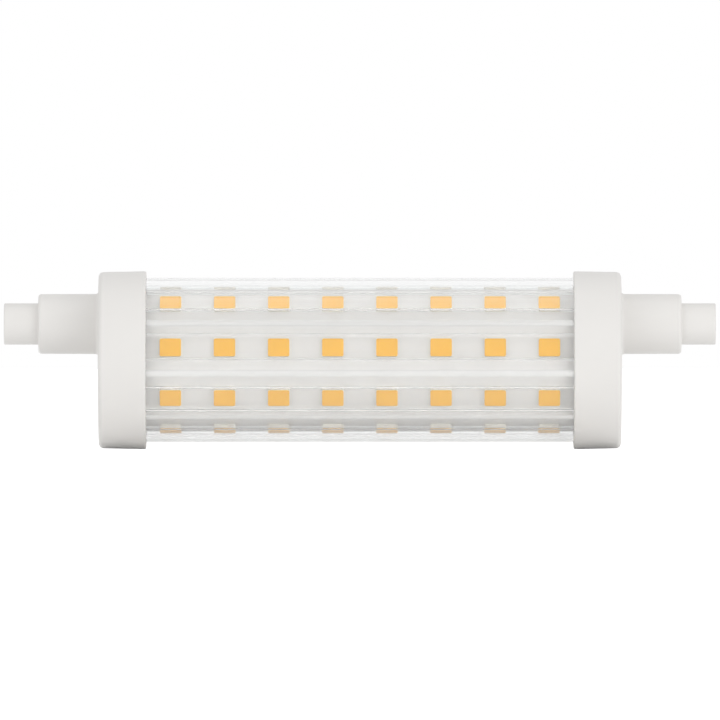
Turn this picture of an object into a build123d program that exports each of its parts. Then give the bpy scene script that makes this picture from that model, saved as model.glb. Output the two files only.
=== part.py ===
from build123d import *
from math import cos, radians, sin, sqrt
import os

os.makedirs("parts", exist_ok=True)

# Double-ended linear LED bulb, in millimetres. X runs along the axis of the clear tube, +Z is the side
# that the necks are set towards, and -Y is the front.

# Length, and the neck and tip at each end
overall_length = 118.0
tip_length = 5.7
tip_diameter = 6.85
tip_edge = 0.2
neck_length = 10.0
neck_diameter = 9.95
neck_edge = 0.4
neck_root_flare = 0.3
neck_offset = 6.0
neck_bore_diameter = 5.6
neck_end_wall = 1.5

# Contact rivet, and the recess in the tip that it is reached through
recess_diameter = 4.0
recess_depth = 1.8
contact_head_diameter = 3.0
contact_head_height = 0.8
contact_stem_diameter = 1.2
contact_stem_reach = 1.5
contact_clearance = 0.1

# Caps: skirt, end wall, and the forks on it that hold the driver board
cap_depth = 7.9
cap_wall = 1.0
cap_taper = 0.15
cap_edge = 0.6
cap_end_wall = 1.6
fork_length = 4.0
fork_width = 1.6
fork_wall = 0.8

# Clear tube, with a pair of low ribs inside for each LED row
tube_diameter = 27.3
tube_wall = 1.2
tube_clearance = 0.1
rib_thickness = 0.25
rib_spacing = 4.13
rib_clearance = 0.55

# LED board, folded to a tube of flat sides, and the insulating liner folded inside it
row_count = 9
front_row_angle = 9.8
board_gap = 1.1
board_thickness = 0.8
board_fold_radius = 1.6
board_seam = 0.4
board_end_play = 0.1
liner_thickness = 0.35
liner_clearance = 0.1

# LEDs: a white base and the phosphor layer that covers it
led_pitch = 8.95
led_length = 3.55
led_width = 2.9
led_base_height = 0.55
led_phosphor_height = 0.15

# Driver board, the leads that reach it from the contacts and the pins that feed the LED board
driver_row = 8
driver_thickness = 1.0
driver_end_play = 0.2
driver_clearance = 0.1
lead_diameter = 1.2
lead_overlap = 4.0
feed_pin_size = 0.64
feed_pin_spacing = 2.0
feed_pin_inset = 1.5
feed_pin_stub = 0.4
feed_hole_clearance = 0.1
liner_to_pin = 0.5

# Parts under the driver board
pin_size = 0.6
fuse_diameter = 3.2
fuse_length = 7.0
fuse_pin_spacing = 9.6
fuse_lift = 0.3
film_capacitor_thickness = 5.0
film_capacitor_width = 10.0
film_capacitor_height = 8.0
film_capacitor_edge = 0.5
bulk_capacitor_diameter = 8.0
bulk_capacitor_height = 9.0
filter_choke_size = 6.0
filter_choke_height = 4.5
power_choke_size = 7.0
power_choke_height = 5.5
choke_edge = 0.8

# Parts on top of the driver board
package_lift = 0.1
package_pin_width = 0.5
package_pin_thickness = 0.2
package_pin_reach = 1.0
rectifier_length = 4.8
rectifier_width = 3.9
rectifier_height = 2.0
rectifier_pins = 2
rectifier_pin_pitch = 2.5
chip_length = 4.9
chip_width = 3.9
chip_height = 1.5
chip_pins = 4
chip_pin_pitch = 1.27
diode_length = 2.6
diode_width = 4.3
diode_height = 2.0
resistor_length = 1.6
resistor_width = 3.1
resistor_height = 0.6
resistor_count = 2
resistor_pitch = 2.6

# Stations along X, from the middle of the bulb
tip_end_x = overall_length / 2
neck_end_x = tip_end_x - tip_length
cap_end_x = neck_end_x - neck_length
cap_rim_x = cap_end_x - cap_depth
cap_floor_x = cap_end_x - cap_end_wall
neck_bore_end_x = neck_end_x - neck_end_wall
recess_floor_x = tip_end_x - recess_depth
contact_seat_x = recess_floor_x - contact_head_height
contact_stem_end_x = neck_bore_end_x - contact_stem_reach

# Radii about the tube's axis, from the outside in
tube_radius = tube_diameter / 2
tube_inner_radius = tube_radius - tube_wall
socket_radius = tube_radius + tube_clearance
cap_rim_radius = socket_radius + cap_wall
cap_end_radius = cap_rim_radius - cap_taper
board_apothem = tube_inner_radius - board_gap
board_inner_apothem = board_apothem - board_thickness
liner_apothem = board_inner_apothem - liner_clearance
liner_inner_apothem = liner_apothem - liner_thickness

# Radii about the neck's axis
tip_radius = tip_diameter / 2
neck_radius = neck_diameter / 2
recess_radius = recess_diameter / 2
stem_radius = contact_stem_diameter / 2
head_radius = contact_head_diameter / 2
neck_axis = Axis((0, 0, neck_offset), (1, 0, 0))
neck_plane = Plane(origin=(0, 0, neck_offset), x_dir=(1, 0, 0), z_dir=(0, -1, 0))

# Rows are numbered down the front from the upper one, and then up the back
row_step = 360 / row_count
first_row_angle = 180 - front_row_angle - row_step
leds_in_row = int((2 * cap_rim_x - led_length) // led_pitch) + 1


def row_outward(row):
    angle = radians(first_row_angle + row * row_step)
    return Vector(0, cos(angle), sin(angle))


def row_plane(row, distance):
    outward = row_outward(row)
    return Plane(origin=outward * distance, x_dir=(1, 0, 0), z_dir=outward)


def save(piece, name):
    piece.label = name
    export_step(piece, f"parts/{name}.step")


def save_pair(piece, name):
    save(piece, f"{name}_right")
    with BuildPart() as left:
        mirror(piece, about=Plane.YZ)
    save(left.part, f"{name}_left")


# The driver board lies under the leads, parallel to the side of the LED board that its pins reach
driver_up = row_outward(driver_row)
driver_level = neck_offset * driver_up.Z - lead_diameter / 2
driver_top = row_plane(driver_row, driver_level)
driver_middle = row_plane(driver_row, driver_level - driver_thickness / 2)
driver_underside = Plane(
    origin=driver_up * (driver_level - driver_thickness),
    x_dir=(1, 0, 0),
    z_dir=-driver_up,
)
driver_half_length = cap_floor_x - driver_end_play
driver_half_width = sqrt(liner_inner_apothem**2 - driver_level**2) - driver_clearance
fork_y = driver_half_width - fork_width / 2
feed_pin_x = cap_rim_x + feed_pin_inset
liner_half_length = feed_pin_x - feed_pin_size / 2 - liner_to_pin
lead_end_x = cap_floor_x - lead_overlap


def spread(lengths):
    span = 2 * liner_half_length
    gap = (span - sum(lengths.values())) / (len(lengths) + 1)
    centres = {}
    cursor = -liner_half_length
    for name, length in lengths.items():
        centres[name] = cursor + gap + length / 2
        cursor += gap + length
    return centres


# Clear tube
rib_foot = board_apothem + rib_clearance
rib_height = tube_inner_radius - rib_foot
with BuildPart() as cover_tube:
    with BuildSketch(Plane.YZ):
        Circle(tube_radius)
        Circle(tube_inner_radius, mode=Mode.SUBTRACT)
        with PolarLocations(rib_foot + rib_height / 2, row_count, start_angle=first_row_angle):
            with GridLocations(0, rib_spacing, 1, 2):
                Rectangle(rib_height, rib_thickness)
    extrude(amount=cap_floor_x, both=True)
save(cover_tube.part, "cover_tube")

# End caps: skirt and end wall turned about the tube's axis, neck and tip about their own
with BuildPart() as end_cap:
    with BuildSketch(Plane.XZ):
        with BuildLine():
            Polyline(
                (cap_floor_x, 0),
                (cap_floor_x, socket_radius),
                (cap_rim_x, socket_radius),
                (cap_rim_x, cap_rim_radius),
                (cap_end_x - cap_edge, cap_end_radius),
                (cap_end_x, cap_end_radius - cap_edge),
                (cap_end_x, 0),
                close=True,
            )
        make_face()
    revolve(axis=Axis.X)
    with BuildSketch(neck_plane):
        with BuildLine():
            Polyline(
                (cap_floor_x, 0),
                (cap_floor_x, neck_radius),
                (cap_end_x, neck_radius + neck_root_flare),
                (cap_end_x + neck_root_flare, neck_radius),
                (neck_end_x - neck_edge, neck_radius),
                (neck_end_x, neck_radius - neck_edge),
                (neck_end_x, tip_radius),
                (tip_end_x - tip_edge, tip_radius),
                (tip_end_x, tip_radius - tip_edge),
                (tip_end_x, 0),
                close=True,
            )
        make_face()
    revolve(axis=neck_axis)
    with BuildSketch(neck_plane):
        with BuildLine():
            Polyline(
                (cap_floor_x, 0),
                (cap_floor_x, neck_bore_diameter / 2),
                (neck_bore_end_x, neck_bore_diameter / 2),
                (neck_bore_end_x, stem_radius + contact_clearance),
                (contact_seat_x, stem_radius + contact_clearance),
                (contact_seat_x, head_radius + contact_clearance),
                (recess_floor_x, head_radius + contact_clearance),
                (recess_floor_x, recess_radius),
                (tip_end_x, recess_radius),
                (tip_end_x, 0),
                close=True,
            )
        make_face()
    revolve(axis=neck_axis, mode=Mode.SUBTRACT)
    with BuildSketch(driver_middle):
        with Locations((cap_floor_x - fork_length / 2, 0)):
            with GridLocations(0, 2 * fork_y, 1, 2):
                Rectangle(fork_length, fork_width)
    extrude(amount=driver_thickness / 2 + fork_wall, both=True)
    with BuildSketch(driver_middle):
        with Locations((cap_floor_x - fork_length / 2, 0)):
            with GridLocations(0, 2 * fork_y, 1, 2):
                Rectangle(fork_length, fork_width)
    extrude(amount=driver_thickness / 2 + driver_clearance, both=True, mode=Mode.SUBTRACT)
save_pair(end_cap.part, "end_cap")

# Contact rivets: the head lies in the floor of the recess, the stem reaches into the neck
with BuildPart() as contact:
    with BuildSketch(neck_plane):
        with BuildLine():
            Polyline(
                (contact_stem_end_x, 0),
                (contact_stem_end_x, stem_radius),
                (contact_seat_x, stem_radius),
                (contact_seat_x, head_radius),
                (recess_floor_x, head_radius),
                (recess_floor_x, 0),
                close=True,
            )
        make_face()
    revolve(axis=neck_axis)
save_pair(contact.part, "contact")

# Leads, from the contact's stem straight down the neck to lie on the driver board
with BuildPart() as lead_wire:
    with BuildSketch(Plane(origin=(lead_end_x, 0, neck_offset), x_dir=(0, 1, 0), z_dir=(1, 0, 0))):
        Circle(lead_diameter / 2)
    extrude(amount=contact_stem_end_x - lead_end_x)
save_pair(lead_wire.part, "lead_wire")

# LED board: one strip folded at every corner, with its seam at the back and two holes for the feed pins
corner_turn = first_row_angle + row_step / 2
seam_turn = corner_turn + (row_count + 1) // 2 * row_step
with BuildPart() as led_board:
    with BuildSketch(Plane.YZ) as board_outline:
        RegularPolygon(board_apothem, row_count, major_radius=False, rotation=corner_turn)
        fillet(board_outline.vertices(), board_fold_radius)
    extrude(amount=cap_floor_x - board_end_play, both=True)
    with BuildSketch(Plane.YZ) as board_inside:
        RegularPolygon(board_inner_apothem, row_count, major_radius=False, rotation=corner_turn)
        fillet(board_inside.vertices(), board_fold_radius - board_thickness)
        with PolarLocations(board_apothem, 1, start_angle=seam_turn):
            Rectangle(2 * board_gap, board_seam)
    extrude(amount=cap_floor_x, both=True, mode=Mode.SUBTRACT)
    with BuildSketch(row_plane(driver_row, board_inner_apothem)):
        with Locations((feed_pin_x, 0)):
            with GridLocations(0, feed_pin_spacing, 1, 2):
                Rectangle(feed_pin_size + 2 * feed_hole_clearance, feed_pin_size + 2 * feed_hole_clearance)
    extrude(amount=board_thickness, mode=Mode.SUBTRACT)
save(led_board.part, "led_board")

# LEDs, a row on each side of the board
for row in range(row_count):
    for name, foot, height in (
        ("led_bases", board_apothem, led_base_height),
        ("led_phosphor", board_apothem + led_base_height, led_phosphor_height),
    ):
        with BuildPart() as led_layer:
            with BuildSketch(row_plane(row, foot)):
                with GridLocations(led_pitch, 0, leds_in_row, 1):
                    Rectangle(led_length, led_width)
            extrude(amount=height)
        save(led_layer.part, f"{name}_row_{row + 1}")

# Insulating liner, folded like the LED board and ending short of the feed pins
with BuildPart() as insulating_liner:
    with BuildSketch(Plane.YZ):
        RegularPolygon(liner_apothem, row_count, major_radius=False, rotation=corner_turn)
        RegularPolygon(
            liner_inner_apothem,
            row_count,
            major_radius=False,
            rotation=corner_turn,
            mode=Mode.SUBTRACT,
        )
    extrude(amount=liner_half_length, both=True)
save(insulating_liner.part, "insulating_liner")

# Driver board, with its corners in the forks of the caps
with BuildPart() as driver_board:
    with BuildSketch(driver_middle):
        Rectangle(2 * driver_half_length, 2 * driver_half_width)
    extrude(amount=driver_thickness / 2, both=True)
save(driver_board.part, "driver_board")

# Feed pins, from the driver board through the LED board
for name, side in (("led_feed_positive", 1), ("led_feed_negative", -1)):
    with BuildPart() as led_feed:
        with BuildSketch(driver_top):
            with Locations((feed_pin_x, side * feed_pin_spacing / 2)):
                Rectangle(feed_pin_size, feed_pin_size)
        extrude(amount=board_apothem + feed_pin_stub - driver_level)
    save(led_feed.part, name)

# Places of the parts on each face of the driver board
underside_x = spread(
    {
        "fuse": fuse_diameter,
        "film_capacitor": film_capacitor_thickness,
        "filter_choke": filter_choke_size,
        "bulk_capacitor": bulk_capacitor_diameter,
        "power_choke": power_choke_size,
    }
)
top_x = spread(
    {
        "rectifier": rectifier_length,
        "chip": chip_length,
        "resistors": resistor_count * resistor_pitch,
        "diode": diode_length,
    }
)

# Fuse resistor: a body across the board on two bent pins
fuse_depth = fuse_lift + fuse_diameter / 2
fuse_centre = driver_underside.from_local_coords((underside_x["fuse"], 0, fuse_depth))
fuse_plane = Plane(origin=fuse_centre, x_dir=(1, 0, 0), z_dir=driver_underside.y_dir)
with BuildPart() as fuse_resistor:
    with BuildSketch(fuse_plane):
        Circle(fuse_diameter / 2)
    extrude(amount=fuse_length / 2, both=True)
    with BuildSketch(fuse_plane):
        Rectangle(pin_size, pin_size)
    extrude(amount=(fuse_pin_spacing + pin_size) / 2, both=True)
    with BuildSketch(driver_underside):
        with Locations((underside_x["fuse"], 0)):
            with GridLocations(0, fuse_pin_spacing, 1, 2):
                Rectangle(pin_size, pin_size)
    extrude(amount=fuse_depth + pin_size / 2)
save(fuse_resistor.part, "fuse_resistor")

# Film capacitor and chokes: moulded blocks with eased corners
for name, length, width, height, edge in (
    ("film_capacitor", film_capacitor_thickness, film_capacitor_width, film_capacitor_height,
     film_capacitor_edge),
    ("filter_choke", filter_choke_size, filter_choke_size, filter_choke_height, choke_edge),
    ("power_choke", power_choke_size, power_choke_size, power_choke_height, choke_edge),
):
    with BuildPart() as block:
        with BuildSketch(driver_underside) as block_outline:
            with Locations((underside_x[name], 0)):
                Rectangle(length, width)
            chamfer(block_outline.vertices(), edge)
        extrude(amount=height)
    save(block.part, name)

# Bulk capacitor: a drawn can
with BuildPart() as bulk_capacitor:
    with BuildSketch(driver_underside):
        with Locations((underside_x["bulk_capacitor"], 0)):
            Circle(bulk_capacitor_diameter / 2)
    extrude(amount=bulk_capacitor_height)
save(bulk_capacitor.part, "bulk_capacitor")

# Moulded packages on top of the board: a body between two rows of bent pins
for name, x, length, width, height, pins, pitch in (
    ("bridge_rectifier", top_x["rectifier"], rectifier_length, rectifier_width, rectifier_height,
     rectifier_pins, rectifier_pin_pitch),
    ("driver_chip", top_x["chip"], chip_length, chip_width, chip_height, chip_pins, chip_pin_pitch),
    ("freewheel_diode", top_x["diode"], diode_length, diode_width, diode_height, 1, 0),
):
    with BuildPart() as package:
        with BuildSketch(driver_top.offset(package_lift)):
            with Locations((x, 0)):
                Rectangle(length, width)
        extrude(amount=height)
        for reach, rise in ((2 * package_pin_reach, package_pin_thickness), (package_pin_reach, height / 2)):
            with BuildSketch(driver_top):
                with Locations((x, 0)):
                    with GridLocations(pitch, 0, pins, 1):
                        Rectangle(package_pin_width, width + reach)
            extrude(amount=rise)
    save(package.part, name)

# Chip resistors on top of the board
with BuildPart() as chip_resistors:
    with BuildSketch(driver_top):
        with Locations((top_x["resistors"], 0)):
            with GridLocations(resistor_pitch, 0, resistor_count, 1):
                Rectangle(resistor_length, resistor_width)
    extrude(amount=resistor_height)
save(chip_resistors.part, "chip_resistors")
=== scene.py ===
from math import asin, cos, pi, radians, sin, tan

import bpy
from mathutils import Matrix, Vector


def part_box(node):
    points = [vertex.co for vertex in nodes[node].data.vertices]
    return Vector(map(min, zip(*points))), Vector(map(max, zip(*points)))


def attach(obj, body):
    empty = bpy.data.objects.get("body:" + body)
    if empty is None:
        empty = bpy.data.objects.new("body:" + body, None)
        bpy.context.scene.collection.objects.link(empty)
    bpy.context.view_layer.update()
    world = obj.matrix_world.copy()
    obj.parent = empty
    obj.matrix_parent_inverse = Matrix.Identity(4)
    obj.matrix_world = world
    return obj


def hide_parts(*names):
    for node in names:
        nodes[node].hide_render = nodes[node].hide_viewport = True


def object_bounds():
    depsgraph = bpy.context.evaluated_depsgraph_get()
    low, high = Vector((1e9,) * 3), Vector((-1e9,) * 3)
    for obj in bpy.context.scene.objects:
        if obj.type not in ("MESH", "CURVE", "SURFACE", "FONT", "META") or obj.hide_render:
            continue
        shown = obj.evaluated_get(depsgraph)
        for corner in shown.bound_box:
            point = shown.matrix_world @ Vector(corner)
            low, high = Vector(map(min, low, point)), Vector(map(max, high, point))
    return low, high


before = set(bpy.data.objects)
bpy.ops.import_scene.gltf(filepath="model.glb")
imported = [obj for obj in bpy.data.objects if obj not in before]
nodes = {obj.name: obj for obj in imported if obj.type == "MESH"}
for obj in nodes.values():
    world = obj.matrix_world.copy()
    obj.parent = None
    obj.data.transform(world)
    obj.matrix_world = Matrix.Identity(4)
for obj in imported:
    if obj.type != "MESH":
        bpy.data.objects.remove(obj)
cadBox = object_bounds()
mm = 0.001  # sizes in the dictionaries are in millimetres, Blender's are in metres
sides = (("left", -1), ("right", 1))

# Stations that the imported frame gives
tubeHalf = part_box("cover_tube")[1].x / mm
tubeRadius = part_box("cover_tube")[1].y / mm
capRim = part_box("end_cap_right")[0].x / mm
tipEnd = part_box("end_cap_right")[1].x / mm
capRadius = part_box("end_cap_right")[1].y / mm
contactLow, contactHigh = (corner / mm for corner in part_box("contact_right"))
neckHeight = (contactLow.z + contactHigh.z) / 2
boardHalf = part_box("led_board")[1].x / mm
rowCount = 9  # sides of the folded board, with a row of LEDs on each
ledStep = 360 / rowCount  # degrees from one side to the next
firstRow = 130.2  # degrees from +Y towards +Z to the upper front side
driverRow = 8  # steps from the first side to the one that the driver board lies along
print("frame loaded,", len(nodes), "nodes")


def linear(hexColour):  # sRGB hex to the linear colour that sockets take
    channels = [int(hexColour[i:i + 2], 16) / 255 for i in (0, 2, 4)]
    return [c / 12.92 if c <= 0.04045 else ((c + 0.055) / 1.055) ** 2.4 for c in channels] + [1.0]


def perMetre(lengthMm):  # the texture scale for a pattern whose unit is this long
    return 1 / (lengthMm * mm)


def addNode(tree, kind, inputs=None, **settings):  # a node with its settings, values and links
    node = tree.nodes.new(kind)
    for name, value in settings.items():
        setattr(node, name, value)
    for name, value in (inputs or {}).items():
        if isinstance(value, bpy.types.NodeSocket):
            tree.links.new(value, node.inputs[name])
        else:
            node.inputs[name].default_value = value
    return node


def startMaterial(name, **sockets):  # a material with its shader's own sockets set
    material = bpy.data.materials.new(name)
    material.use_nodes = True
    tree = material.node_tree
    shader = tree.nodes["Principled BSDF"]
    for socket, value in sockets.items():
        shader.inputs[socket.replace("_", " ")].default_value = value
    spot = addNode(tree, "ShaderNodeTexCoord").outputs["Object"]
    return material, tree, shader, spot


# Noise lies mostly between low and high
noise = {"driftDetail": 2.0, "grainDetail": 3.0, "low": 0.3, "high": 0.7}
waveUnit = pi / 10  # the scale at which a wave texture's bands lie one metre apart


def speckled(tree, shader, spot, finish):  # tone drift, grain in the roughness and a grained skin
    drift = addNode(tree, "ShaderNodeTexNoise", {
        "Vector": spot, "Scale": perMetre(finish["driftMm"]), "Detail": noise["driftDetail"]})
    tone = addNode(tree, "ShaderNodeMix", {
        0: drift.outputs[0], 6: linear(finish["colour"]), 7: linear(finish["shade"])},
        data_type="RGBA")
    grain = addNode(tree, "ShaderNodeTexNoise", {
        "Vector": spot, "Scale": perMetre(finish["grainMm"]), "Detail": noise["grainDetail"]})
    gloss = addNode(tree, "ShaderNodeMapRange", {
        "Value": grain.outputs[0], "From Min": noise["low"], "From Max": noise["high"],
        "To Min": finish["roughness"][0], "To Max": finish["roughness"][1]})
    skin = addNode(tree, "ShaderNodeBump", {
        "Height": grain.outputs[0], "Strength": 1.0, "Distance": finish["depthMm"] * mm})
    tree.links.new(tone.outputs[2], shader.inputs["Base Color"])
    tree.links.new(gloss.outputs[0], shader.inputs["Roughness"])
    tree.links.new(skin.outputs[0], shader.inputs["Normal"])
    return tone.outputs[2], gloss.outputs[0]


# Moulded PBT: opaque white with a satin skin from a finely blasted mould. The blasting is 0.05 mm
# and would be lost in the render, so its grain is drawn at 0.3 mm.
capFinish = {"colour": "e9e7e4", "shade": "e5e3e0", "driftMm": 11.0, "grainMm": 0.3,
             "depthMm": 0.004, "roughness": (0.42, 0.52)}
mouldedPbt, tree, shader, spot = startMaterial("mouldedPbt", IOR=1.55)
speckled(tree, shader, spot, capFinish)

# Extruded polycarbonate: water clear and glossy, with faint draw lines along the tube that take a
# little light
tubeFinish = {"lineMm": 1.6, "runMm": 90.0, "lineDetail": 1.0, "clear": "ffffff",
              "streak": "f6f7f7"}
clearPolycarbonate, tree, shader, spot = startMaterial(
    "clearPolycarbonate", Roughness=0.0, IOR=1.585, Transmission_Weight=1.0)
acrossLine, alongLine = perMetre(tubeFinish["lineMm"]), perMetre(tubeFinish["runMm"])
stretched = addNode(tree, "ShaderNodeMapping", {
    "Vector": spot, "Scale": (alongLine, acrossLine, acrossLine)})
drawLines = addNode(tree, "ShaderNodeTexNoise", {
    "Vector": stretched.outputs[0], "Scale": 1.0, "Detail": tubeFinish["lineDetail"]})
clearness = addNode(tree, "ShaderNodeMix", {
    0: drawLines.outputs[0], 6: linear(tubeFinish["clear"]), 7: linear(tubeFinish["streak"])},
    data_type="RGBA")
tree.links.new(clearness.outputs[2], shader.inputs["Base Color"])

# White solder mask on aluminium: even satin white with the mask's fine orange peel. The mask is
# left off along each fold, where the bare metal shows as a band, bright or dark by what it faces.
boardFinish = {"colour": "ebe9e6", "shade": "e8e6e3", "driftMm": 6.0, "grainMm": 0.45,
               "depthMm": 0.003, "roughness": (0.38, 0.5), "metal": "d3d2d0",
               "metalRoughness": 0.34, "foldTurn": 2.7}
whiteMask, tree, shader, spot = startMaterial("whiteMaskOnAluminium", IOR=1.5)
tone, gloss = speckled(tree, shader, spot, boardFinish)
section = addNode(tree, "ShaderNodeSeparateXYZ", {"Vector": spot}).outputs
around = addNode(tree, "ShaderNodeMath", {0: section["Z"], 1: section["Y"]}, operation="ARCTAN2")
fromFold = addNode(tree, "ShaderNodeMath", {
    0: around.outputs[0], 1: radians(firstRow + ledStep / 2)}, operation="SUBTRACT")
nearFold = addNode(tree, "ShaderNodeMath", {
    0: fromFold.outputs[0], 1: radians(ledStep / 2)}, operation="PINGPONG")
bareMetal = addNode(tree, "ShaderNodeMath", {
    0: nearFold.outputs[0], 1: radians(boardFinish["foldTurn"])}, operation="LESS_THAN").outputs[0]
boardColour = addNode(tree, "ShaderNodeMix", {
    0: bareMetal, 6: tone, 7: linear(boardFinish["metal"])}, data_type="RGBA")
boardGloss = addNode(tree, "ShaderNodeMix", {
    0: bareMetal, 2: gloss, 3: boardFinish["metalRoughness"]})
tree.links.new(boardColour.outputs[2], shader.inputs["Base Color"])
tree.links.new(boardGloss.outputs[0], shader.inputs["Roughness"])
tree.links.new(bareMetal, shader.inputs["Metallic"])

# LED base: white reflector resin, satin and a little warmer than the board
ledBaseFinish = {"colour": "f0ece2", "shade": "ebe6da", "driftMm": 2.0, "grainMm": 0.3,
                 "depthMm": 0.002, "roughness": (0.35, 0.45)}
reflectorResin, tree, shader, spot = startMaterial("reflectorResin", IOR=1.5)
speckled(tree, shader, spot, ledBaseFinish)

# Phosphor in silicone: warm yellow and softly glossy. Its grains are 0.02 mm and would be lost in
# the render, so they are drawn at 0.25 mm.
phosphorFinish = {"colour": "ffc746", "shade": "fdbd3c", "driftMm": 0.9, "grainMm": 0.25,
                  "depthMm": 0.004, "roughness": (0.3, 0.4)}
phosphorSilicone, tree, shader, spot = startMaterial("phosphorSilicone", IOR=1.42)
speckled(tree, shader, spot, phosphorFinish)
print("outer materials ready")

# Nickel plate on the turned contacts: bright satin metal with the rings that the tool left
contactFinish = {"colour": "d3cec6", "shade": "ccc6bd", "driftMm": 1.2, "grainMm": 0.2,
                 "depthMm": 0.002, "roughness": (0.24, 0.32), "ringMm": 0.16, "ringDepthMm": 0.004}
nickelPlate, tree, shader, spot = startMaterial("nickelPlate", Metallic=1.0)
speckled(tree, shader, spot, contactFinish)
centred = addNode(tree, "ShaderNodeMapping", {"Vector": spot, "Location": (0, 0, -neckHeight * mm)})
toolRings = addNode(tree, "ShaderNodeTexWave", {
    "Vector": centred.outputs[0], "Scale": waveUnit / (contactFinish["ringMm"] * mm)},
    wave_type="RINGS", rings_direction="X")
ringed = addNode(tree, "ShaderNodeBump", {
    "Height": toolRings.outputs[1], "Strength": 1.0, "Distance": contactFinish["ringDepthMm"] * mm})
tree.links.new(ringed.outputs[0], shader.inputs["Normal"])

# Glass epoxy under green mask: copper areas show paler through the mask, and the glass weave stands
# in its skin
boardWeave = {"colour": "1f6b41", "shade": "1b6039", "driftMm": 9.0, "grainMm": 0.4,
              "depthMm": 0.002, "roughness": (0.3, 0.42), "copper": "2f8453", "areaMm": (7.0, 2.6),
              "gapMm": 0.3, "weaveMm": 0.5, "weaveDepthMm": 0.006}
glassEpoxy, tree, shader, spot = startMaterial("glassEpoxy", IOR=1.55)
tone, _ = speckled(tree, shader, spot, boardWeave)
copper = linear(boardWeave["copper"])
copperAreas = addNode(tree, "ShaderNodeTexBrick", {
    "Vector": spot, "Color1": copper, "Color2": copper, "Mortar": tone,
    "Scale": 1.0, "Mortar Size": boardWeave["gapMm"] * mm,
    "Brick Width": boardWeave["areaMm"][0] * mm, "Row Height": boardWeave["areaMm"][1] * mm})
tree.links.new(copperAreas.outputs[0], shader.inputs["Base Color"])
threads = [addNode(tree, "ShaderNodeTexWave", {
    "Vector": spot, "Scale": waveUnit / (boardWeave["weaveMm"] * mm)},
    bands_direction=way).outputs[1] for way in "XY"]
weave = addNode(tree, "ShaderNodeMath", {0: threads[0], 1: threads[1]}, operation="MAXIMUM")
woven = addNode(tree, "ShaderNodeBump", {
    "Height": weave.outputs[0], "Strength": 1.0, "Distance": boardWeave["weaveDepthMm"] * mm})
tree.links.new(woven.outputs[0], shader.inputs["Normal"])

# Sleeved capacitor can: drawn aluminium that shows at its closed end, under a dark shrunk sleeve
canFinish = {"colour": "23262c", "shade": "1d2026", "driftMm": 3.0, "grainMm": 0.3,
             "depthMm": 0.003, "roughness": (0.3, 0.4), "metal": "c9cacc", "bareMm": 0.5}
sleevedCan, tree, shader, spot = startMaterial("sleevedAluminiumCan", IOR=1.53)
tone, _ = speckled(tree, shader, spot, canFinish)
height = addNode(tree, "ShaderNodeSeparateXYZ", {"Vector": spot}).outputs["Z"]
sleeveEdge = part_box("bulk_capacitor")[0].z + canFinish["bareMm"] * mm
bareEnd = addNode(tree, "ShaderNodeMath", {
    0: height, 1: sleeveEdge}, operation="LESS_THAN").outputs[0]
canColour = addNode(tree, "ShaderNodeMix", {
    0: bareEnd, 6: tone, 7: linear(canFinish["metal"])}, data_type="RGBA")
tree.links.new(canColour.outputs[2], shader.inputs["Base Color"])
tree.links.new(bareEnd, shader.inputs["Metallic"])

# The rest inside, each with its own drift and grain. Where pinMm is given, what is further across
# than that is tinned pin.
insideFinishes = {
    # silicone lead: dull ivory with a talc bloom
    "siliconeLead": {"colour": "e4e0d6", "shade": "dad5c9", "driftMm": 3.0, "grainMm": 0.2,
                     "depthMm": 0.004, "roughness": (0.6, 0.75)},
    # tinned brass pins: grey metal, dulled where the tin flowed
    "tinnedPin": {"colour": "c6c6c3", "shade": "b5b5b1", "driftMm": 0.8, "grainMm": 0.15,
                  "depthMm": 0.003, "roughness": (0.28, 0.45), "metallic": 1.0},
    # polyester film: pale amber with a shallow ripple from its folding
    "polyesterFilm": {"colour": "d8c58d", "shade": "cdb87c", "driftMm": 12.0, "grainMm": 2.5,
                      "depthMm": 0.03, "roughness": (0.2, 0.32)},
    # dipped film capacitor: glossy brick red lacquer
    "dippedLacquer": {"colour": "a33220", "shade": "8f2819", "driftMm": 4.0, "grainMm": 0.6,
                      "depthMm": 0.01, "roughness": (0.15, 0.25)},
    # sintered ferrite: charcoal, dry and granular
    "sinteredFerrite": {"colour": "3a3a3d", "shade": "2f2f32", "driftMm": 2.0, "grainMm": 0.25,
                        "depthMm": 0.02, "roughness": (0.65, 0.85)},
    # lacquered fuse resistor: grey green, smooth, on tinned pins
    "fuseLacquer": {"colour": "7f9c86", "shade": "728e79", "driftMm": 2.5, "grainMm": 0.4,
                    "depthMm": 0.008, "roughness": (0.35, 0.5), "pinMm": 3.5},
    # thick film resistors: black glaze between tinned ends
    "blackGlaze": {"colour": "1c1c1e", "shade": "151517", "driftMm": 1.0, "grainMm": 0.2,
                   "depthMm": 0.003, "roughness": (0.2, 0.35), "pinMm": 1.1},
    # moulded epoxy packages: dull black, on tinned pins
    "mouldedEpoxy": {"colour": "27272a", "shade": "202023", "driftMm": 2.0, "grainMm": 0.2,
                     "depthMm": 0.006, "roughness": (0.5, 0.65), "pinMm": 1.97}}
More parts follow.
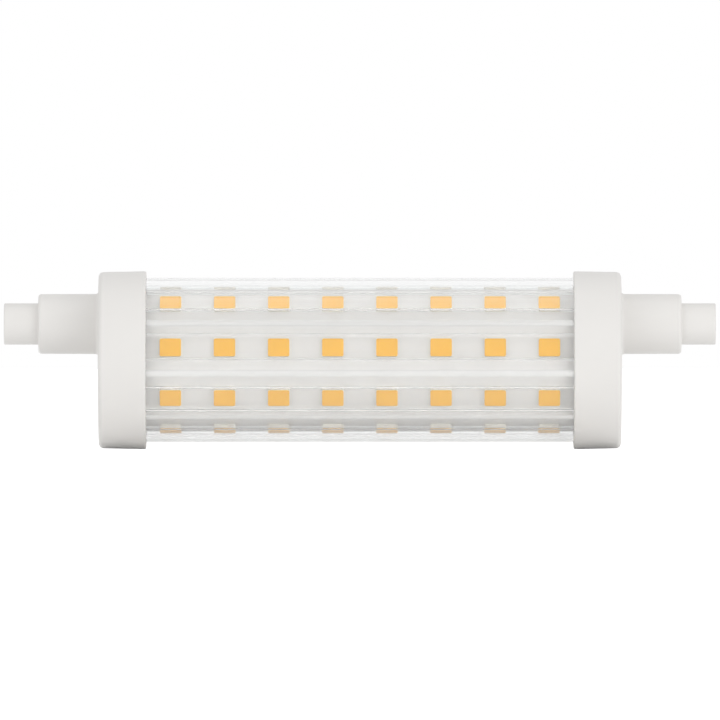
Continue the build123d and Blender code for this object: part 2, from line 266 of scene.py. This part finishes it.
# the same on a wider package
insideFinishes["mouldedEpoxyWide"] = {**insideFinishes["mouldedEpoxy"], "pinMm": 2.17}
inside = {"glassEpoxy": glassEpoxy, "sleevedCan": sleevedCan}
tin = linear(insideFinishes["tinnedPin"]["colour"])
for name, finish in insideFinishes.items():
    inside[name], tree, shader, spot = startMaterial(name, Metallic=finish.get("metallic", 0.0))
    tone, _ = speckled(tree, shader, spot, finish)
    if "pinMm" in finish:
        sideways = addNode(tree, "ShaderNodeSeparateXYZ", {"Vector": spot}).outputs["Y"]
        reach = addNode(tree, "ShaderNodeMath", {0: sideways}, operation="ABSOLUTE")
        pin = addNode(tree, "ShaderNodeMath", {
            0: reach.outputs[0], 1: finish["pinMm"] * mm}, operation="GREATER_THAN").outputs[0]
        colour = addNode(tree, "ShaderNodeMix", {0: pin, 6: tone, 7: tin}, data_type="RGBA")
        tree.links.new(colour.outputs[2], shader.inputs["Base Color"])
        tree.links.new(pin, shader.inputs["Metallic"])
worn = {"siliconeLead": ("lead_wire_left", "lead_wire_right"),
        "tinnedPin": ("led_feed_positive", "led_feed_negative"),
        "polyesterFilm": ("insulating_liner",),
        "glassEpoxy": ("driver_board",),
        "sleevedCan": ("bulk_capacitor",),
        "dippedLacquer": ("film_capacitor",),
        "sinteredFerrite": ("filter_choke", "power_choke"),
        "fuseLacquer": ("fuse_resistor",),
        "blackGlaze": ("chip_resistors",),
        "mouldedEpoxy": ("bridge_rectifier", "driver_chip"),
        "mouldedEpoxyWide": ("freewheel_diode",)}
for name, wearers in worn.items():
    for node in wearers:
        for seat in nodes[node].material_slots:
            seat.material = inside[name]
print("inner materials ready")


def roundedPath(points, arcSteps):  # points are (x, radius, rounding): each corner becomes an arc
    path = []
    for index, (x, r, rounding) in enumerate(points):
        here = Vector((x, r))
        if rounding == 0 or index in (0, len(points) - 1):
            path.append(here)
            continue
        before = (Vector(points[index - 1][:2]) - here).normalized()
        after = (Vector(points[index + 1][:2]) - here).normalized()
        opening = before.angle(after)
        reach = rounding / tan(opening / 2)
        centre = here + (before + after).normalized() * (rounding / sin(opening / 2))
        start = here + before * reach - centre
        turn = start.angle_signed(here + after * reach - centre)
        for step in range(arcSteps + 1):
            angle = -turn * step / arcSteps
            path.append(centre + Vector((start.x * cos(angle) - start.y * sin(angle),
                                         start.x * sin(angle) + start.y * cos(angle))))
    return path


def roughPiece(name, vertices, faces):
    mesh = bpy.data.meshes.new(name)
    mesh.from_pydata([Vector(v) * mm for v in vertices], [], faces)
    rough = bpy.data.objects.new(name + "Rough", mesh)
    bpy.context.collection.objects.link(rough)
    return rough


def takeMesh(rough, name):  # the evaluated result as a plain mesh object at the origin
    evaluated = rough.evaluated_get(bpy.context.evaluated_depsgraph_get())
    mesh = bpy.data.meshes.new_from_object(evaluated, preserve_all_data_layers=True,
                                           depsgraph=bpy.context.evaluated_depsgraph_get())
    mesh.name = name
    piece = bpy.data.objects.new(name, mesh)
    bpy.context.collection.objects.link(piece)
    bpy.data.objects.remove(rough)
    return piece


def finishMesh(name, vertices, faces, material, blocks=None, operation="UNION", sharpAngle=30.0):
    rough = roughPiece(name, vertices, faces)
    if blocks:  # blocks are joined to the shape or cut from it
        tool = roughPiece(name + "Blocks", *blocks)
        joint = rough.modifiers.new("blocks", "BOOLEAN")
        joint.object = tool
        joint.operation = operation
        rough = takeMesh(rough, name + "Joined")
        bpy.data.objects.remove(tool)
    rough.data.materials.append(material)
    rough.data.shade_smooth()
    rough.data.set_sharp_from_angle(angle=radians(sharpAngle))
    even = rough.modifiers.new("evenNormals", "WEIGHTED_NORMAL")
    even.keep_sharp = True
    return takeMesh(rough, name)


def standFor(piece, slot, *replaced):  # the piece rides on the body in place of its CAD nodes
    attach(piece, "root")
    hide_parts(*replaced)


def across(outward, sideways, angle):  # a point of the section, from a row's own directions
    return (outward * cos(angle) - sideways * sin(angle),
            outward * sin(angle) + sideways * cos(angle))


def rowBlocks(blocks, angle):  # square blocks, each by its reach in x, outwards and sideways
    vertices = []
    faces = []
    for xs, outwards, sideways in blocks:
        first = len(vertices)
        vertices += [(x, *across(o, s, angle))
                     for x in sorted(xs) for o in sorted(outwards) for s in sorted(sideways)]
        for corners in ((0, 1, 3, 2), (4, 6, 7, 5), (0, 4, 5, 1),
                        (2, 3, 7, 6), (0, 2, 6, 4), (1, 5, 7, 3)):
            faces.append([first + corner for corner in corners])
    return vertices, faces


def turned(rings, side, count, closed):  # rings round X: a closed chain, or a bar with flat ends
    vertices = []
    faces = []
    for x, r, height in rings:
        for step in range(count):
            angle = 2 * pi * step / count
            vertices.append((side * x, r * cos(angle), height + r * sin(angle)))
    for ring in range(len(rings) if closed else len(rings) - 1):
        here = ring * count
        following = (ring + 1) % len(rings) * count
        for step in range(count):
            after = (step + 1) % count
            faces.append([here + step, here + after, following + after, following + step])
    if not closed:
        faces.append(list(range(count))[::-1])
        faces.append(list(range(len(vertices) - count, len(vertices))))
    return vertices, faces if side > 0 else [face[::-1] for face in faces]


# End caps: one chain of rings, which moves from the tube's axis to the neck's on the flat end wall
# and back on the floor inside
endCap = {"segments": 144, "arcSteps": 6, "socketRadius": 13.75, "taper": 0.15, "edge": 0.8,
          "rimEdge": 0.3, "depth": 7.9, "endWall": 1.6, "neckEnd": 53.3, "neckRadius": 4.975,
          "neckTaper": 0.03, "neckEdge": 0.5, "neckRoot": 0.6, "tipRadius": 3.425, "tipEdge": 0.25,
          "tipRoot": 0.15, "recessRadius": 2.0, "seatRadius": 1.6, "seatDepth": 0.8,
          "stemHole": 0.7, "boreEnd": 51.8, "boreRadius": 2.8, "forkLength": 4.0, "forkWidth": 1.6,
          "forkWall": 0.7, "forkSlot": 1.2, "forkRoot": 0.4}
capEnd = capRim + endCap["depth"]
capFloor = capEnd - endCap["endWall"]
recessFloor = contactHigh.x


def capRings(size):
    endRadius = capRadius - size["taper"]
    skirt = roundedPath([
        (capFloor, size["socketRadius"], 0),
        (capRim, size["socketRadius"], size["rimEdge"]),
        (capRim, capRadius, size["rimEdge"]),
        (capEnd, endRadius, size["edge"]),
        (capEnd, 0, 0)], size["arcSteps"])[:-1]
    neck = roundedPath([
        (capEnd, endRadius, 0),
        (capEnd, size["neckRadius"], size["neckRoot"]),
        (size["neckEnd"], size["neckRadius"] - size["neckTaper"], size["neckEdge"]),
        (size["neckEnd"], size["tipRadius"], size["tipRoot"]),
        (tipEnd, size["tipRadius"], size["tipEdge"]),
        (tipEnd, size["recessRadius"], size["tipRoot"]),
        (recessFloor, size["recessRadius"], 0),
        (recessFloor, size["seatRadius"], 0),
        (recessFloor - size["seatDepth"], size["seatRadius"], 0),
        (recessFloor - size["seatDepth"], size["stemHole"], 0),
        (size["boreEnd"], size["stemHole"], 0),
        (size["boreEnd"], size["boreRadius"], 0),
        (capFloor, size["boreRadius"], 0)], size["arcSteps"])[1:]
    return [(p.x, p.y, 0) for p in skirt] + [(p.x, p.y, neckHeight) for p in neck]


driverLow, driverHigh = (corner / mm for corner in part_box("driver_board"))
driverTurn = radians(firstRow + ledStep * driverRow)
driverMiddle = (driverLow.z + driverHigh.z) / 2
forkOut = driverHigh.y - endCap["forkWidth"] / 2
forkReach = (endCap["forkSlot"] / 2, endCap["forkSlot"] / 2 + endCap["forkWall"])
for sideName, side in sides:
    vertices, faces = turned(capRings(endCap), side, endCap["segments"], True)
    forks = [((side * (capFloor - endCap["forkLength"]), side * (capFloor + endCap["forkRoot"])),
              [driverMiddle + up * reach for reach in forkReach],
              [out * forkOut + width / 2 for width in (-endCap["forkWidth"], endCap["forkWidth"])])
             for up in (-1, 1) for out in (-1, 1)]
    cap = finishMesh("endCap_" + sideName, vertices, faces, mouldedPbt,
                     rowBlocks(forks, driverTurn))
    standFor(cap, "white_moulding", "end_cap_" + sideName)
print("end caps turned")

# Contact rivets: a stem in the neck, and a head with an eased rim and a shallow dish
contactRivet = {"segments": 72, "arcSteps": 4, "headRadius": 1.5, "headHeight": 0.8,
                "stemRadius": 0.6, "stemEdge": 0.1, "rim": 0.18, "dishRadius": 0.95,
                "dishDepth": 0.08, "flatRadius": 0.1}
headFoot = recessFloor - contactRivet["headHeight"]
profile = roundedPath([
    (contactLow.x, contactRivet["flatRadius"], 0),
    (contactLow.x, contactRivet["stemRadius"], contactRivet["stemEdge"]),
    (headFoot, contactRivet["stemRadius"], contactRivet["stemEdge"]),
    (headFoot, contactRivet["headRadius"], contactRivet["stemEdge"]),
    (recessFloor, contactRivet["headRadius"], contactRivet["rim"]),
    (recessFloor, contactRivet["dishRadius"], 0),
    (recessFloor - contactRivet["dishDepth"], contactRivet["flatRadius"], 0)],
    contactRivet["arcSteps"])
contactRings = [(p.x, p.y, neckHeight) for p in profile]
for sideName, side in sides:
    vertices, faces = turned(contactRings, side, contactRivet["segments"], False)
    rivet = finishMesh("contactRivet_" + sideName, vertices, faces, nickelPlate)
    standFor(rivet, "nickel_plate", "contact_" + sideName)
print("contacts turned")


def prism(outer, inner, half, closed):  # the wall between two outlines of as many points, along X
    count = len(outer)
    vertices = [(x, y, z) for x in (-half, half) for loop in (outer, inner) for y, z in loop]
    leftOuter, leftInner, rightOuter, rightInner = (i * count for i in range(4))
    faces = []
    for step in range(count if closed else count - 1):
        after = (step + 1) % count
        faces.append([leftOuter + step, leftOuter + after, rightOuter + after, rightOuter + step])
        faces.append([leftInner + step, rightInner + step, rightInner + after, leftInner + after])
        faces.append([leftOuter + step, leftInner + step, leftInner + after, leftOuter + after])
        faces.append([rightOuter + step, rightOuter + after, rightInner + after, rightInner + step])
    if not closed:
        last = count - 1
        faces.append([leftOuter, rightOuter, rightInner, leftInner])
        faces.append([leftOuter + last, leftInner + last, rightInner + last, rightOuter + last])
    return vertices, faces


# Clear tube: a round wall, and a pair of guide ribs inside for each LED row
coverTube = {"wall": 1.2, "ribFoot": 11.9, "ribThickness": 0.25, "ribSpacing": 4.13, "arcSteps": 24,
             "crestSteps": 10}
innerRadius = tubeRadius - coverTube["wall"]
crest = coverTube["ribThickness"] / 2
ribOut = coverTube["ribSpacing"] / 2
near, far = (asin(edge / innerRadius) for edge in (ribOut - crest, ribOut + crest))
outerLoop = []
innerLoop = []
for row in range(rowCount):
    middle = radians(firstRow + ledStep * row)
    following = middle + radians(ledStep)
    # between the pair's ribs and over the second, then on to the next pair and over its first
    for start, end, rib, ribMiddle, spread in (
            (-near, near, middle, ribOut, (near, far)),
            (far, radians(ledStep) - far, following, -ribOut, (-far, -near))):
        for step in range(coverTube["arcSteps"] + 1):
            angle = start + (end - start) * step / coverTube["arcSteps"]
            innerLoop.append(across(innerRadius * cos(angle), innerRadius * sin(angle), middle))
            outerLoop.append(across(tubeRadius * cos(angle), tubeRadius * sin(angle), middle))
        for step in range(coverTube["crestSteps"] + 1):  # the crest is round
            share = step / coverTube["crestSteps"]
            angle = spread[0] + (spread[1] - spread[0]) * (step + 1) / (coverTube["crestSteps"] + 2)
            innerLoop.append(across(coverTube["ribFoot"] + crest - crest * sin(pi * share),
                                    ribMiddle - crest * cos(pi * share), rib))
            outerLoop.append(across(tubeRadius * cos(angle), tubeRadius * sin(angle), rib))
vertices, faces = prism(outerLoop, innerLoop, tubeHalf, True)
tube = finishMesh("coverTube", vertices, faces, clearPolycarbonate)
standFor(tube, "clear_polycarbonate", "cover_tube")
print("tube drawn,", len(outerLoop), "points round its section")

# LED board: one strip folded round nine sides, with its seam at a back corner
ledBoard = {"apothem": 11.35, "thickness": 0.8, "foldRadius": 1.6, "foldSteps": 10, "seam": 0.4,
            "seamCorner": 5, "pinHole": 0.84, "pinSpacing": 2.0, "holeReach": 1.0}
outerLoop = []
innerLoop = []
half = radians(ledStep / 2)
gap = asin(ledBoard["seam"] / 2 / ledBoard["foldRadius"])
centre = (ledBoard["apothem"] - ledBoard["foldRadius"]) / cos(half)  # axis to a fold's centre
for fold in range(rowCount + 1):  # the first and the last share the corner with the seam
    middle = radians(firstRow + ledStep * (ledBoard["seamCorner"] + fold) + ledStep / 2)
    start = gap if fold == 0 else -half
    end = -gap if fold == rowCount else half
    for step in range(ledBoard["foldSteps"] + 1):
        angle = start + (end - start) * step / ledBoard["foldSteps"]
        for loop, radius in ((outerLoop, ledBoard["foldRadius"]),
                             (innerLoop, ledBoard["foldRadius"] - ledBoard["thickness"])):
            loop.append(across(centre + radius * cos(angle), radius * sin(angle), middle))
vertices, faces = prism(outerLoop, innerLoop, boardHalf, False)
pinLow, pinHigh = (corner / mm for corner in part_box("led_feed_positive"))
hole = ledBoard["pinHole"] / 2
pinMiddle = (pinLow.x + pinHigh.x) / 2
holeDepth = [ledBoard["apothem"] + way * ledBoard["holeReach"] for way in (-1, 1)]
holes = [((pinMiddle - hole, pinMiddle + hole), holeDepth, (place - hole, place + hole))
         for place in (-ledBoard["pinSpacing"] / 2, ledBoard["pinSpacing"] / 2)]
board = finishMesh("ledBoard", vertices, faces, whiteMask, rowBlocks(holes, driverTurn),
                   "DIFFERENCE")
standFor(board, "white_board", "led_board")
print("LED board folded")

# LEDs: a node tree lays out one rounded package along a row, and the row round the board
ledPackage = {"count": 8, "pitch": 8.95, "length": 3.55, "width": 2.9, "corner": 0.3,
              "cornerSteps": 4, "baseHeight": 0.66, "phosphorHeight": 0.04, "bevel": 0.03,
              "weld": 0.001}


def ledRowsTree():
    tree = bpy.data.node_groups.new("ledRows", "GeometryNodeTree")
    for name, kind in (("Count", "Int"), ("Pitch", "Float"), ("Rows", "Int"), ("Row Step", "Float"),
                       ("First Row", "Float"), ("Length", "Float"), ("Width", "Float"),
                       ("Corner", "Float"), ("Corner Steps", "Int"), ("Seat", "Float"),
                       ("Height", "Float"), ("Bevel", "Float"), ("Finish", "Material")):
        tree.interface.new_socket(name=name, in_out="INPUT", socket_type="NodeSocket" + kind)
    tree.interface.new_socket(name="Geometry", in_out="OUTPUT", socket_type="NodeSocketGeometry")
    given = addNode(tree, "NodeGroupInput").outputs

    # one package: a rounded plate, pulled up to a wall and a bevel, and closed below
    outline = addNode(tree, "GeometryNodeCurvePrimitiveQuadrilateral", {
        "Width": given["Length"], "Height": given["Width"]}, mode="RECTANGLE")
    eased = addNode(tree, "GeometryNodeFilletCurve", {
        "Curve": outline.outputs[0], "Count": given["Corner Steps"], "Radius": given["Corner"]},
        mode="POLY")
    plate = addNode(tree, "GeometryNodeFillCurve", {"Curve": eased.outputs[0]}, mode="NGONS")
    wallHeight = addNode(tree, "ShaderNodeMath", {
        0: given["Height"], 1: given["Bevel"]}, operation="SUBTRACT")
    wall = addNode(tree, "GeometryNodeExtrudeMesh", {
        "Mesh": plate.outputs[0], "Offset Scale": wallHeight.outputs[0], "Individual": False},
        mode="FACES")
    slope = addNode(tree, "GeometryNodeExtrudeMesh", {
        "Mesh": wall.outputs["Mesh"], "Selection": wall.outputs["Top"],
        "Offset Scale": given["Bevel"], "Individual": False}, mode="FACES")
    inset = addNode(tree, "ShaderNodeMath", {
        0: given["Bevel"], 1: given["Width"]}, operation="DIVIDE")
    shrink = addNode(tree, "ShaderNodeMath", {  # 1 - 2 x inset
        0: inset.outputs[0], 1: -2.0, 2: 1.0}, operation="MULTIPLY_ADD")
    top = addNode(tree, "GeometryNodeScaleElements", {
        "Geometry": slope.outputs["Mesh"], "Selection": slope.outputs["Top"],
        "Scale": shrink.outputs[0]}, domain="FACE")
    underside = addNode(tree, "GeometryNodeFlipFaces", {"Mesh": plate.outputs[0]})
    shell = addNode(tree, "GeometryNodeJoinGeometry")
    for part in (top, underside):
        tree.links.new(part.outputs[0], shell.inputs[0])
    package = addNode(tree, "GeometryNodeMergeByDistance", {
        "Geometry": shell.outputs[0], "Distance": ledPackage["weld"] * mm})
    lift = addNode(tree, "ShaderNodeCombineXYZ", {"Z": given["Seat"]})
    seated = addNode(tree, "GeometryNodeTransform", {
        "Geometry": package.outputs[0], "Translation": lift.outputs[0]})

    # a row of them along X, centred
    gaps = addNode(tree, "ShaderNodeMath", {  # half of 1 - count
        0: given["Count"], 1: -0.5, 2: 0.5}, operation="MULTIPLY_ADD")
    firstX = addNode(tree, "ShaderNodeMath", {
        0: gaps.outputs[0], 1: given["Pitch"]}, operation="MULTIPLY")
    firstPlace = addNode(tree, "ShaderNodeCombineXYZ", {"X": firstX.outputs[0]})
    stepOn = addNode(tree, "ShaderNodeCombineXYZ", {"X": given["Pitch"]})
    line = addNode(tree, "GeometryNodeMeshLine", {
        "Count": given["Count"], "Start Location": firstPlace.outputs[0],
        "Offset": stepOn.outputs[0]}, mode="OFFSET")
    ledRow = addNode(tree, "GeometryNodeInstanceOnPoints", {
        "Points": line.outputs[0], "Instance": seated.outputs[0]})

    # the row again on each side of the board
    hub = addNode(tree, "GeometryNodeMeshLine", {
        "Count": given["Rows"], "Offset": (0, 0, 0)}, mode="OFFSET")
    turn = addNode(tree, "ShaderNodeMath", {
        0: addNode(tree, "GeometryNodeInputIndex").outputs[0], 1: given["Row Step"],
        2: given["First Row"]}, operation="MULTIPLY_ADD")
    spun = addNode(tree, "GeometryNodeInstanceOnPoints", {
        "Points": hub.outputs[0], "Instance": ledRow.outputs[0],
        "Rotation": addNode(tree, "ShaderNodeCombineXYZ", {"X": turn.outputs[0]}).outputs[0]})
    real = addNode(tree, "GeometryNodeRealizeInstances", {"Geometry": spun.outputs[0]})
    painted = addNode(tree, "GeometryNodeSetMaterial", {
        "Geometry": real.outputs[0], "Material": given["Finish"]})
    addNode(tree, "NodeGroupOutput", {0: painted.outputs[0]})
    return tree


ledRows = ledRowsTree()
baseTop = ledBoard["apothem"] + ledPackage["baseHeight"]
for name, seat, height, finish, slot, stem in (
        ("ledBases", ledBoard["apothem"], ledPackage["baseHeight"], reflectorResin, "led_base",
         "led_bases_row_"),
        ("ledPhosphor", baseTop, ledPackage["phosphorHeight"], phosphorSilicone, "phosphor",
         "led_phosphor_row_")):
    rough = bpy.data.objects.new(name + "Rough", bpy.data.meshes.new(name + "Rough"))
    bpy.context.collection.objects.link(rough)
    layout = rough.modifiers.new("ledRows", "NODES")
    layout.node_group = ledRows
    wanted = {"Count": ledPackage["count"], "Pitch": ledPackage["pitch"] * mm, "Rows": rowCount,
              "Row Step": radians(ledStep),
              "First Row": radians(firstRow - 90),  # the package is laid out facing up
              "Length": ledPackage["length"] * mm, "Width": ledPackage["width"] * mm,
              "Corner": ledPackage["corner"] * mm, "Corner Steps": ledPackage["cornerSteps"],
              "Seat": seat * mm, "Height": height * mm, "Bevel": ledPackage["bevel"] * mm,
              "Finish": finish}
    for item in ledRows.interface.items_tree:
        if item.in_out == "INPUT":
            layout[item.identifier] = wanted[item.name]
    leds = takeMesh(rough, name)
    standFor(leds, slot, *[stem + str(row + 1) for row in range(rowCount)])
print("LEDs laid out")

# Floor, lights and camera
stage = {"floorSize": 60.0, "floorColour": "fdfdfd", "floorRoughness": 0.9, "floorLift": 0.6,
         "ambient": 0.64}


def backdropShown(tree):  # 1 where it is seen straight, mirrored or through the tube, and else 0
    path = addNode(tree, "ShaderNodeLightPath").outputs
    seen = addNode(tree, "ShaderNodeMath", {
        0: path["Is Camera Ray"], 1: path["Is Glossy Ray"]}, operation="MAXIMUM")
    seen = addNode(tree, "ShaderNodeMath", {
        0: seen.outputs[0], 1: path["Is Transmission Ray"]}, operation="MAXIMUM")
    direct = addNode(tree, "ShaderNodeMath", {  # no diffuse bounce on the way
        0: path["Diffuse Depth"], 1: 0.5}, operation="LESS_THAN")
    return addNode(tree, "ShaderNodeMath", {
        0: seen.outputs[0], 1: direct.outputs[0]}, operation="MULTIPLY").outputs[0]


bpy.ops.mesh.primitive_plane_add(size=stage["floorSize"], location=(0, 0, cadBox[0].z))
floor = bpy.context.object
floor.name = "floor"
floorPaint, tree, shader, _ = startMaterial(
    "floorPaint", Roughness=stage["floorRoughness"], Base_Color=linear(stage["floorColour"]))
lift = addNode(tree, "ShaderNodeMath", {
    0: backdropShown(tree), 1: stage["floorLift"]}, operation="MULTIPLY")
tree.links.new(lift.outputs[0], shader.inputs["Emission Strength"])
floor.data.materials.append(floorPaint)

scene = bpy.context.scene
scene.view_settings.view_transform = "Standard"
scene.cycles.blur_glossy = 0.0  # light comes through the tube unblurred, so none is lost inside
studio = bpy.data.worlds.new("studio")
studio.use_nodes = True
scene.world = studio
tree = studio.node_tree
level = addNode(tree, "ShaderNodeMapRange", {
    "Value": backdropShown(tree), "To Min": stage["ambient"], "To Max": 1.0})
tree.links.new(level.outputs[0], tree.nodes["Background"].inputs["Strength"])
tree.nodes["Background"].inputs["Color"].default_value = (1, 1, 1, 1)

# The low and high lamps leave the middle free, so that the tube shows no image of them
lamps = {"lowLeft": {"place": (-1.0, -1.3, 0.12), "size": (1.1, 0.24), "watts": 3.4},
         "lowRight": {"place": (1.0, -1.3, 0.12), "size": (1.1, 0.24), "watts": 3.4},
         "highLeft": {"place": (-0.45, -1.0, 1.1), "size": (0.7, 0.8), "watts": 1.2},
         "highRight": {"place": (0.45, -1.0, 1.1), "size": (0.7, 0.8), "watts": 1.2},
         "key": {"place": (1.0, -0.95, 0.15), "size": (0.9, 0.28), "watts": 2.3},
         "top": {"place": (0.0, 0.0, 1.1), "size": (0.4, 0.5), "watts": 0.45}}
mirrored = ["top"]  # the lamps that show in glossy surfaces
for name, lamp in lamps.items():
    light = bpy.data.lights.new(name, "AREA")
    light.shape = "RECTANGLE"
    light.size, light.size_y = lamp["size"]
    light.energy = lamp["watts"]
    stand = bpy.data.objects.new(name, light)
    stand.location = lamp["place"]
    toBulb = -Vector(lamp["place"])
    stand.rotation_euler = toBulb.to_track_quat("-Z", "Y").to_euler()
    stand.visible_glossy = name in mirrored
    bpy.context.collection.objects.link(stand)

view = {"lens": 1000.0, "sensor": 36.0, "frameWidth": 119.4, "aim": (0.02, 0, 0.03), "clipEnd": 50}
camera = bpy.data.objects.new("camera", bpy.data.cameras.new("camera"))
camera.data.lens = view["lens"]
camera.data.sensor_width = view["sensor"]
camera.data.clip_end = view["clipEnd"]
distance = view["frameWidth"] * mm * view["lens"] / view["sensor"]
camera.location = Vector(view["aim"]) * mm + Vector((0, -distance, 0))
camera.rotation_euler = (pi / 2, 0, 0)
bpy.context.collection.objects.link(camera)
scene.camera = camera
print("stage set")
